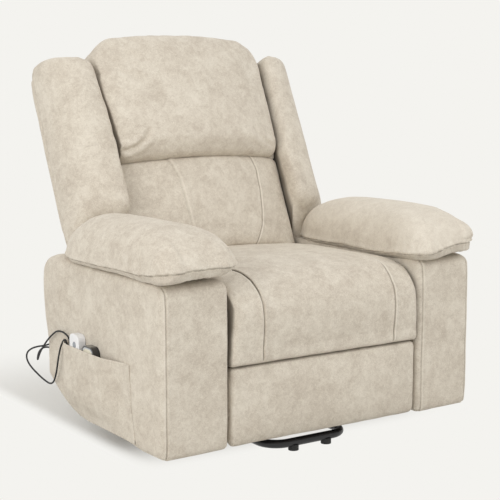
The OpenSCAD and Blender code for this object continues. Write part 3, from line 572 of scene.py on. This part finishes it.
# ---- arm pads ----
def build_pad(side):
    name = "left" if side > 0 else "right"
    obj = soft_start(f"pad_{name}_pillow", f"arm_pad_{name}", relaxing=5)

    def held(p):
        return np.maximum(hill(p[:, 2] - PAD_SEAM_Z, 0.007), fall(p[:, 2], ARM_TOP + 0.010, 0.008))
    swell(obj, held, pressure=3.5, cap=0.010, frames=12, shrink=0.003)
    refine(obj)

    def climb(y):
        """How the pad's widest line rises towards the front."""
        front = fall(y, 0.26, 0.26)
        return PAD_RISE * front - PAD_DROP * (1 - front)

    def sag(x, y):
        """How far the sitter's left pad hangs down inside the arm, and the right one outside it."""
        if side < 0:
            return 0.012 * rise(x, 0.37, 0.09) * hill(y - 0.060, 0.085)
        return fall(x, 0.400, 0.130) * (0.012 + 0.010 * fall(y, 0.30, 0.20))

    def seam_height(p):
        x, y = np.abs(p[:, 0]), p[:, 1] - FRONT_Y
        return PAD_SEAM_Z + climb(y) - sag(x, y)

    # The inner front corner rests on the seat's edge, and the outer rear one is drawn in
    def fill_out(p, n):
        x, y = np.abs(p[:, 0]), p[:, 1] - FRONT_Y
        move = np.zeros_like(p)
        nose = fall(x, 0.36, 0.06) * fall(y, 0.20, 0.14) * rise(p[:, 2], 0.452, 0.012)
        heel = rise(y, 0.30, 0.20) * rise(x, 0.36, 0.09)
        if side < 0:
            corner = rise(x, 0.40, 0.05) * fall(y, 0.05, 0.04)
            low = corner * fall(p[:, 2], 0.472, 0.012)
            move[:, 0] = side * (0.005 * corner + 0.009 * low - 0.016 * nose)
            move[:, 1] = -0.007 * nose - 0.042 * heel - 0.009 * corner - 0.009 * low
        else:
            # This one has a rounder nose
            edge = rise(x, 0.38, 0.06) * fall(y, 0.06, 0.05)
            full = edge * (0.006 * hill(p[:, 2] - PAD_SEAM_Z - 0.055, 0.030)
                - 0.008 * hill(p[:, 2] - PAD_SEAM_Z - 0.004, 0.020))
            move[:, 0] = side * (full - 0.016 * nose)
            move[:, 1] = -full - 0.007 * nose - 0.042 * heel
        move[:, 2] = hill(p[:, 2] - PAD_SEAM_Z, 0.024) * climb(y) + 0.004 * nose
        move[:, 2] -= sag(x, y) * fall(p[:, 2], PAD_SEAM_Z + 0.075, 0.075)
        return move
    sculpt(obj, fill_out)
    refine_near(obj, lambda p: np.abs(p[:, 2] - seam_height(p)), reach=0.010, times=2)
    centre_x = side * (ARM_IN + ARM_OUT + 0.014) / 2

    def seams(p, n):
        over = p[:, 2] - seam_height(p)
        # How far round the pad a point is, as an angle
        a = np.arctan2(p[:, 1] - (FRONT_Y + 0.07), p[:, 0] - centre_x)
        front = fall(p[:, 1], FRONT_Y + 0.16, 0.12)
        outside = 1 - np.abs(n[:, 2])
        over = over + 0.0006 * np.sin(a * 34) + 0.0008 * np.sin(a * 11 + side)
        d = -0.0044 * hill(over, 0.0019) + 0.0012 * hill(over - 0.006, 0.004)
        d -= 0.0030 * fall(over, 0, 0.005)
        # Shirring drawn up from the seam, strongest round the front corners
        pulls = np.sin(a * 30 + 1.4 * np.sin(a * 7.3 + side)) + 0.6 * np.sin(a * 53 + 2 * side)
        corner = hill(np.abs(np.abs(p[:, 0] - centre_x) - 0.078), 0.030) * front
        reach = fall(over, 0.050, 0.045) * rise(over, 0, 0.004)
        d += pulls * reach * outside * (0.0002 + 0.0021 * corner + 0.0004 * front)
        # One loose fold above the outer front corner
        fold = np.abs(p[:, 0]) - (ARM_OUT - 0.035) - 0.15 * (over - 0.03)
        folded = 0.0018 * hill(fold, 0.006) - 0.0016 * hill(fold + 0.012, 0.007)
        d += front * folded * hill(over - 0.045, 0.028)
        d += pulls * fall(over, 0, 0.004) * rise(p[:, 2] - ARM_TOP, 0.003, 0.006) * 0.0008 * front
        return d + mottle(p, 7 + side)
    sculpt(obj, seams)

    def line(p, shift, width):
        over = p[:, 2] - seam_height(p) - shift
        return hill(over, width) * (0.35 + 0.65 * rise(wave_noise(p, 45, 61), -0.25, 0.3))
    # Painted light on the upward faces of the sitter's left pad, the lighter one
    lit = 0.30 if side > 0 else 0.0
    # Painted shade in the needle line and just under the seam, and a painted highlight on the folded edge above
    # it
    mark(obj,
        dark=lambda p, n: 0.45 * line(p, 0, NEEDLE) + 0.07 * fall(p[:, 2], seam_height(p) - 0.002, 0.004),
        light=lambda p, n: 0.35 * line(p, 0.0036, 0.0018) + lit * rise(n[:, 2], -0.2, 0.6))
    dress(obj, "chassis", f"arm_pad_{name}")


for side in (1, -1):
    build_pad(side)


# ---- seat ----
def build_seat():
    obj = soft_start("seat_pillow", "seat_cushion", relaxing=2)

    def held(p):
        y = p[:, 1] - FRONT_Y
        side_edge = hill(np.abs(p[:, 0]) - PILLOW_HALF, 0.006) * 0.8
        under = fall(p[:, 2], 0.285, 0.01) * rise(y, 0.05, 0.01)
        foot = fall(p[:, 2], SEAT_SEAM_Z + 0.012, 0.01)
        line = hill(np.abs(p[:, 0]) - STITCH_X, 0.006) * fall(y, 0.17, 0.12) * 0.9
        rear = rise(y, 0.47, 0.02)
        return np.maximum.reduce([side_edge, under, foot, line, rear])
    swell(obj, held, pressure=4.0, cap=0.022, frames=12, shrink=0.003, keep=0.55)
    refine(obj)

    # Filled out to the arms and down to the footrest, as stuffing presses it
    def fill_out(p, n):
        y = p[:, 1] - FRONT_Y
        move = np.zeros_like(p)
        side = 0.009 * (1 - 0.62 * hill(p[:, 2] - 0.365, 0.060))
        move[:, 0] = np.sign(p[:, 0]) * side * rise(np.abs(p[:, 0]), 0.20, 0.06) * fall(y, 0.30, 0.2)
        low = fall(p[:, 2], 0.285, 0.03) * fall(y, 0.05, 0.03)
        corner = low * rise(np.abs(p[:, 0]), 0.245, 0.02)
        move[:, 0] += np.sign(p[:, 0]) * 0.003 * corner
        move[:, 1] = -0.006 * low
        move[:, 2] = -0.0025 * low - 0.004 * corner
        return move
    sculpt(obj, fill_out)

    def line_offset(p):
        return np.abs(p[:, 0]) - STITCH_X - 0.005 * rise(p[:, 2], 0.40, 0.06)

    def line_distance(p):
        y = p[:, 1] - FRONT_Y
        return np.where((y < 0.22) & (p[:, 2] > 0.252), np.abs(line_offset(p)), 1)
    refine_near(obj, line_distance, reach=0.014, times=2)

    def shown(p, n):
        return rise(p[:, 2], 0.254, 0.004) * (np.maximum(-n[:, 1], n[:, 2]) > 0.2)

    def seams(p, n):
        y = p[:, 1] - FRONT_Y
        fade = fall(y, 0.21, 0.10)
        off = line_offset(p)
        d = -0.0040 * hill(off, 0.0020) + 0.0018 * hill(off + 0.0062, 0.0032)
        d += 0.0010 * hill(off - 0.007, 0.004)
        return d * fade * shown(p, n) + mottle(p, 12)
    sculpt(obj, seams)

    def line(p, n, shift, width):
        y = p[:, 1] - FRONT_Y
        return hill(line_offset(p) - shift, width) * fall(y, 0.21, 0.10) * shown(p, n)

    # Painted shade on the lower edge and the sides, deep in the gaps to the footrest and the arms
    def gap_shade(p, n):
        y = p[:, 1] - FRONT_Y
        below = fall(p[:, 2], 0.2535, 0.003) * fall(y, 0.05, 0.03)
        return 0.22 * below + 0.8 * rise(np.abs(n[:, 0]), 0.80, 0.12) * rise(y, -0.004, 0.012)
    # Painted shade in the needle lines and a painted highlight on the folded edge beside each
    mark(obj, dark=lambda p, n: 0.45 * line(p, n, 0, NEEDLE) + gap_shade(p, n),
        light=lambda p, n: 0.6 * line(p, n, 0.0040, 0.0017))
    dress(obj, "chassis", "seat_cushion")


build_seat()


# ---- back ----
def lean_frame(p):
    """Each point's u, behind the rear plane, and v, up the lean."""
    y = p[:, 1] - FRONT_Y - BACK_FOOT[0]
    z = p[:, 2] - BACK_FOOT[1]
    return y * math.cos(LEAN) - z * math.sin(LEAN), y * math.sin(LEAN) + z * math.cos(LEAN)


def along_lean(d):
    """Moves of d up the lean."""
    return np.outer(d, (0, math.sin(LEAN), math.cos(LEAN)))


def across_lean(d):
    """Moves of d towards the rear, square to the lean."""
    return np.outer(d, (0, math.cos(LEAN), -math.sin(LEAN)))


def build_headrest():
    obj = soft_start("headrest_pillow", "headrest_cushion", relaxing=4)

    def held(p):
        u, v = lean_frame(p)
        side = hill(np.abs(p[:, 0]) - BACK_PILLOW_HALF, 0.008) * rise(u, -0.12, 0.02)
        bottom = hill(v - 0.246, 0.010) * rise(u, -0.15, 0.04)
        rear = rise(u, -0.068, 0.006)
        return np.maximum.reduce([side * 0.7, bottom, rear])
    swell(obj, held, pressure=4.0, cap=0.024, frames=12, shrink=0.003, keep=0.5)
    refine(obj)

    # Full shoulders, and a lower edge that sits on the lumbar pillow
    def fill_out(p, n):
        u, v = lean_frame(p)
        x = np.abs(p[:, 0])
        lift = 0.011 * rise(v, 0.44, 0.10) + 0.017 * hill(x - 0.222, 0.045) * rise(v, 0.50, 0.05)
        # The last few centimetres above the seam lie back against the lumbar pillow
        foot = fall(v, 0.305, 0.06) * fall(u, -0.085, 0.03)
        move = along_lean(lift + 0.010 * foot) + across_lean(0.016 * foot)
        narrow = np.where(p[:, 0] > 0, 0.045, 0.072)
        move[:, 0] = -narrow * p[:, 0] * fall(v, 0.55, 0.30) * fall(u, -0.085, 0.03)
        return move
    sculpt(obj, fill_out)

    # Sideways place and height of the fold at a lower corner
    corner_fold = ((0.250, 0.256), (0.228, 0.262), (0.205, 0.272), (0.184, 0.290), (0.168, 0.315))

    def folds(p, n):
        front = n[:, 1] < 0.3
        d = np.zeros(len(p))
        # Pull from the lower corner of each side up into the pillow
        for sx, size in ((-1, 1.0), (1, 0.35)):
            line = [on_back(sx * x, -0.18, v) for x, v in corner_fold]
            off, along = near_line(np.column_stack([p[:, 0], np.full(len(p), line[0][1]), p[:, 2]]),
                [(q[0], line[0][1], q[2]) for q in line])
            fade = rise(along, 0, 0.02) * fall(along, 0.13, 0.07)
            d += size * fade * front * (-0.0064 * hill(off, 0.0055) + 0.0036 * hill(off - 0.014, 0.009))
        # Faint gathers at the upper corners
        u, v = lean_frame(p)
        for sx in (-1, 1):
            zone = hill(np.hypot(p[:, 0] * sx - 0.19, v - 0.50), 0.065)
            along = (p[:, 0] * sx) * 0.55 - v * 0.84
            d += zone * front * 0.0011 * np.sin(along * 2 * math.pi / 0.030 + 2 * wave_noise(p, 12, 3))
        return d + mottle(p, 17)
    sculpt(obj, folds)

    # Painted shade on the seam under it, and on its sides down in the gap to the wings
    def gap_shade(p, n):
        u, v = lean_frame(p)
        front = fall(u, -0.075, 0.03)
        side = rise(np.abs(n[:, 0]), 0.78, 0.12) * fall(v, 0.56, 0.10)
        return 0.5 * front * fall(v, 0.2585, 0.004) + 0.8 * side * rise(u, -0.155, 0.012)
    mark(obj, dark=gap_shade)
    dress(obj, "back", "headrest_cushion")


def build_lumbar():
    obj = soft_start("lumbar_pillow", "lumbar_cushion", relaxing=3)

    def held(p):
        u, v = lean_frame(p)
        side = hill(np.abs(p[:, 0]) - BACK_PILLOW_HALF, 0.008) * 0.7
        rear = rise(u, -0.070, 0.006)
        return np.maximum.reduce([side, rear, rise(v, 0.236, 0.008)])
    swell(obj, held, pressure=4.0, cap=0.022, frames=12, shrink=0.003, keep=0.45)
    refine(obj)

    # Its top tucks under the headrest and its foot rests behind the seat
    def fill_out(p, n):
        u, v = lean_frame(p)
        front = fall(u, -0.068, 0.015)
        top = front * rise(v, 0.175, 0.055)
        move = along_lean(0.024 * top - 0.014 * front * fall(v, 0.05, 0.03)) - across_lean(0.004 * top)
        narrow = np.where(p[:, 0] > 0,
            0.02 + 0.085 * fall(v, 0.26, 0.22), 0.10 - 0.03 * fall(v, 0.26, 0.15))
        move[:, 0] = -narrow * p[:, 0] * fall(u, -0.085, 0.03)
        # The cloth goes on down over the front of the frame, out of sight until the back reclines
        move -= along_lean(0.036 * rise(u, -0.100, 0.02) * fall(v, 0.050, 0.030))
        # Its lower corners spread into the hollow above the arms
        low = fall(v, 0.085, 0.04) * rise(np.abs(p[:, 0]), 0.22, 0.04) * rise(u, -0.080, 0.03)
        move[:, 0] += np.sign(p[:, 0]) * 0.022 * low
        return move
    sculpt(obj, fill_out)

    def seam_offsets(p):
        """Distance from the curved seam on the sitter's left and from the softer one on the right."""
        u, v = lean_frame(p)
        left = np.interp(v, (0.0, 0.054, 0.097, 0.156, 0.215, 0.251),
            (0.112, 0.144, 0.156, 0.166, 0.170, 0.160))
        right = np.interp(v, (0.0, 0.078, 0.141, 0.198, 0.250),
            (-0.086, -0.085, -0.087, -0.091, -0.107))
        return p[:, 0] - left, p[:, 0] - right

    def seam_distance(p):
        left, right = seam_offsets(p)
        u, v = lean_frame(p)
        return np.where(u < -0.08, np.minimum(np.abs(left), np.abs(right)), 1)
    refine_near(obj, seam_distance, reach=0.014, times=2)

    def seams(p, n):
        front = fall(n[:, 1], 0.25, 0.3)
        left, right = seam_offsets(p)
        d = front * (-0.0030 * hill(left, 0.0018) + 0.0014 * hill(left - 0.0055, 0.0032))
        d += front * (-0.0016 * hill(right, 0.0030) + 0.0022 * hill(right - 0.010, 0.007))
        return d + mottle(p, 23)
    sculpt(obj, seams)

    # Painted shade in the needle lines and on the sides down in the gaps to the wings
    def dark(p, n):
        left, right = seam_offsets(p)
        u, v = lean_frame(p)
        front = fall(n[:, 1], 0.25, 0.3)
        side = rise(np.abs(n[:, 0]), 0.74, 0.14)
        lines = 0.42 * hill(left, NEEDLE) + 0.10 * hill(right, 0.0030)
        return front * lines + 0.6 * side * rise(u, -0.118, 0.012)

    # Painted highlights on the folded edges beside the seams
    def light(p, n):
        left, right = seam_offsets(p)
        lines = 0.45 * hill(left - 0.0040, 0.0017) + 0.35 * hill(right - 0.005, 0.003)
        return fall(n[:, 1], 0.25, 0.3) * lines
    mark(obj, dark=dark, light=light)
    dress(obj, "back", "lumbar_cushion")


def build_wing(side):
    name = "left" if side > 0 else "right"
    obj = soft_start(f"wing_{name}_bolster", f"wing_{name}", relaxing=26)

    def held(p):
        u, v = lean_frame(p)
        return np.maximum(rise(u, -0.012, 0.008), hill(np.abs(p[:, 0]) - 0.276, 0.005) * rise(u, -0.10, 0.03))
    swell(obj, held, pressure=3.0, cap=0.010, frames=10, shrink=0.0, keep=0.8)
    refine(obj)

    # The foot hangs behind the arm pad, and the relaxed top is drawn back up
    def fill_out(p, n):
        u, v = lean_frame(p)
        x = np.abs(p[:, 0])
        foot = 0.048 * rise(u, -0.112, 0.062) * fall(v, 0.20, 0.10)
        foot += 0.036 * rise(x, 0.33, 0.07) * rise(u, -0.10, 0.06) * fall(v, 0.16, 0.09)
        foot += 0.020 * fall(x, 0.36, 0.04) * rise(u, -0.08, 0.04) * fall(v, 0.16, 0.09)
        across = rise(x, 0.29, 0.12)
        crown = rise(v, 0.45, 0.09) * (0.026 * across - 0.004)
        if side > 0:
            crown += 0.010 * fall(x, 0.375, 0.09) * rise(v, 0.46, 0.08)
        move = along_lean(crown - foot)
        # The inner edge leans over the side of the pillows
        inner = fall(x, 0.325, 0.045) * fall(u, -0.055, 0.035) * fall(v, 0.56, 0.33)
        move += -across_lean(0.012 * inner)
        move[:, 0] = -side * (0.010 if side > 0 else 0.019) * inner
        if side < 0:
            move[:, 0] += 0.008 * fall(x, 0.325, 0.05) * fall(u, -0.03, 0.04) * rise(v, 0.28, 0.12)
        move[:, 0] += side * 0.010 * rise(x, 0.35, 0.04) * fall(v, 0.20, 0.12)
        return move
    sculpt(obj, fill_out)
    relax(obj, 8)
    refine_near(obj, lambda p: np.abs(lean_frame(p)[0] - WING_SEAM_U), reach=0.012, times=1)

    def seams(p, n):
        u, v = lean_frame(p)
        outer = rise(side * n[:, 0], 0.25, 0.3)
        d = outer * (-0.0026 * hill(u - WING_SEAM_U, 0.0024) + 0.0010 * hill(u + 0.030, 0.004))
        # The edge towards the pillows is uneven
        inner = hill(np.abs(p[:, 0]) - 0.258, 0.014) * fall(u, -0.05, 0.03)
        d += inner * 0.0030 * wave_noise(p, 26, 51 + side)
        return d + mottle(p, 29 + side)
    sculpt(obj, seams)

    # Painted shade in the outer needle line and on the inner side, which faces the pillows across a gap
    def dark(p, n):
        u, v = lean_frame(p)
        outer = rise(side * n[:, 0], 0.25, 0.3)
        inner = rise(-side * n[:, 0], 0.86, 0.08) * fall(v, 0.60, 0.08) * rise(u, -0.120, 0.02)
        return 0.45 * outer * hill(u - WING_SEAM_U, 0.0016) + 0.8 * inner
    mark(obj, dark=dark)
    dress(obj, "back", f"wing_{name}")


def build_outer_back():
    obj = soft_start("back_cover", "back_outer", relaxing=8, voxel=0.007)

    def panel(p, n):
        """How much each point faces the rear, its distances from the edge and from the cross seam, and
        whether it is between the side seams."""
        u, v = lean_frame(p)
        half = 0.372 - 0.10 * fall(v, 0.11, 0.03)
        inside = np.abs(p[:, 0]) < half - 0.016
        edge = np.minimum(half - np.abs(p[:, 0]), 0.545 - v)
        return rise(n[:, 1], 0.3, 0.3), edge, v - 0.118, inside

    def seams(p, n):
        rear, edge, cross, inside = panel(p, n)
        d = rear * (-0.0026 * hill(edge - 0.018, 0.0035) + 0.0012 * hill(edge - 0.028, 0.006))
        d += rear * -0.0024 * hill(cross, 0.0035) * inside
        return d + mottle(p, 31)
    sculpt(obj, seams)

    # Painted shade in the needle lines of the edge and cross seams
    def dark(p, n):
        rear, edge, cross, inside = panel(p, n)
        return 0.4 * rear * np.maximum(hill(edge - 0.018, 0.0022), hill(cross, 0.0022) * inside)
    mark(obj, dark=dark)
    dress(obj, "back", "back_outer")


build_headrest()
build_lumbar()
for side in (1, -1):
    build_wing(side)
build_outer_back()


# ---- footrest ----
def build_footrest():
    obj = soft_start("footrest_pillow", "footrest_pad", relaxing=1)

    def held(p):
        y = p[:, 1] - FRONT_Y
        edge = hill(np.abs(p[:, 0]) - PILLOW_HALF, 0.006) * 0.8
        return np.maximum.reduce([edge, rise(y, 0.040, 0.01), rise(p[:, 2], 0.238, 0.006) * 0.8])
    swell(obj, held, pressure=2.0, cap=0.008, frames=10, shrink=0.0, keep=0.5)
    refine(obj)

    def fill_out(p, n):
        move = np.zeros_like(p)
        y = p[:, 1] - FRONT_Y
        front = fall(y, 0.045, 0.03)
        move[:, 0] = np.sign(p[:, 0]) * 0.006 * rise(np.abs(p[:, 0]), 0.22, 0.04) * front
        top = rise(p[:, 2], 0.215, 0.03) * front
        move[:, 1] = -0.003 * top
        move[:, 2] = 0.001 * top - 0.004 * front * fall(p[:, 2], 0.10, 0.03) * (1 + 0.6 * wave_noise(p, 5, 9))
        return move
    sculpt(obj, fill_out)
    sculpt(obj, lambda p, n: mottle(p, 37))
    # Painted shade on the upward faces, which lie under the seat
    mark(obj, dark=lambda p, n: 0.22 * rise(n[:, 2], 0.8, 0.15))
    dress(obj, "footrest", "footrest_pad")


build_footrest()


# ---- flat cloth parts ----
def build_flat_cloth():
    pocket = soft_start("side_pocket_cloth", "side_pocket", relaxing=3, voxel=0.0013)
    sculpt(pocket, lambda p, n: 0.0004 * wave_noise(p, 20, 41))
    front = float(get_points(pocket.data)[:, 1].min())
    # Painted shade along the front edge, and painted highlights on the folded edge beside it and on the upward
    # faces
    mark(pocket, dark=lambda p, n: 0.5 * fall(p[:, 1], front + 0.0030, 0.002),
        light=lambda p, n: 0.35 * hill(p[:, 1] - front - 0.0055, 0.002) + 0.5 * rise(n[:, 2], 0.6, 0.2))
    dress(pocket, "chassis", "side_pocket")
    panel = soft_start("rear_panel_cloth", "rear_panel", relaxing=3, voxel=0.004)
    sculpt(panel, lambda p, n: 0.0008 * wave_noise(p, 14, 43))
    dress(panel, "chassis", "rear_panel")


build_flat_cloth()


# ---- light, floor and background ----
BACKDROP = (0.905, 0.896, 0.863, 1)


def seen_directly(tree):
    """1 for the camera's rays and for what gloss and glass show, 0 for the light on the object."""
    rays = node(tree, "ShaderNodeLightPath")
    return maths(tree, "MAXIMUM", rays.outputs["Is Camera Ray"],
        maths(tree, "MAXIMUM", rays.outputs["Is Glossy Ray"], rays.outputs["Is Transmission Ray"]))


def build_stage():
    mesh = bpy.data.meshes.new("floor")
    mesh.from_pydata([(-6, -6, 0), (6, -6, 0), (6, 6, 0), (-6, 6, 0)], [], [(0, 1, 2, 3)])
    floor = add_object("floor", mesh)
    m = bpy.data.materials.new("floor")
    m.use_nodes = True
    tree = m.node_tree
    tree.nodes.clear()
    out = node(tree, "ShaderNodeOutputMaterial")
    lit = node(tree, "ShaderNodeBsdfDiffuse", {"Color": (0.78, 0.778, 0.76, 1), "Roughness": 1.0})
    plain = node(tree, "ShaderNodeEmission", {"Color": BACKDROP, "Strength": 1.0})
    place = node(tree, "ShaderNodeTexCoord").outputs["Object"]
    parts = node(tree, "ShaderNodeSeparateXYZ", {0: place})

    def band(value, low, high):
        return node(tree, "ShaderNodeMapRange", {"Value": value, "From Min": low, "From Max": high},
            interpolation_type="SMOOTHSTEP").outputs["Result"]
    # The chair's shadow shows only here, as in the photograph
    shade = band(parts.outputs["X"], -0.435, -0.375)
    for axis, low, high in (("Y", -0.30, -0.02), ("Y", 1.15, 0.45), ("X", 0.60, 0.30)):
        shade = maths(tree, "MULTIPLY", shade, band(parts.outputs[axis], low, high))
    hidden = maths(tree, "MULTIPLY", maths(tree, "SUBTRACT", 1.0, shade), seen_directly(tree))
    shown = node(tree, "ShaderNodeMixShader", {0: hidden, 1: lit.outputs[0], 2: plain.outputs[0]})
    tree.links.new(shown.outputs[0], out.inputs["Surface"])
    floor.data.materials.append(m)

    world = bpy.data.worlds.new("studio")
    bpy.context.scene.world = world
    world.use_nodes = True
    tree = world.node_tree
    tree.nodes.clear()
    out = node(tree, "ShaderNodeOutputWorld")
    seen = seen_directly(tree)
    back = node(tree, "ShaderNodeBackground", {"Color": BACKDROP, "Strength": 1.0})
    fill = node(tree, "ShaderNodeBackground", {"Color": (1.0, 0.993, 0.98, 1), "Strength": 0.78})
    both = node(tree, "ShaderNodeMixShader", {0: seen, 1: fill.outputs[0], 2: back.outputs[0]})
    tree.links.new(both.outputs[0], out.inputs["Surface"])

    def lamp(name, place, aim, size, power):
        data = bpy.data.lights.new(name, "AREA")
        data.shape = "SQUARE"
        data.size = size
        data.energy = power
        data.color = (1, 0.985, 0.96)
        obj = add_object(name, data)
        obj.location = place
        obj.rotation_euler = (Vector(aim) - Vector(place)).to_track_quat("-Z", "Y").to_euler()

    lamp("key", (1.2, -3.0, 2.8), (0, 0, 0.4), 2.0, 33)
    lamp("left_fill", (-3.6, -1.4, 1.8), (0, 0, 0.5), 3.0, 59)
    lamp("top", (-0.4, -0.4, 3.6), (0, 0, 0.5), 2.4, 4)
    bpy.context.scene.view_settings.view_transform = "Standard"


build_stage()
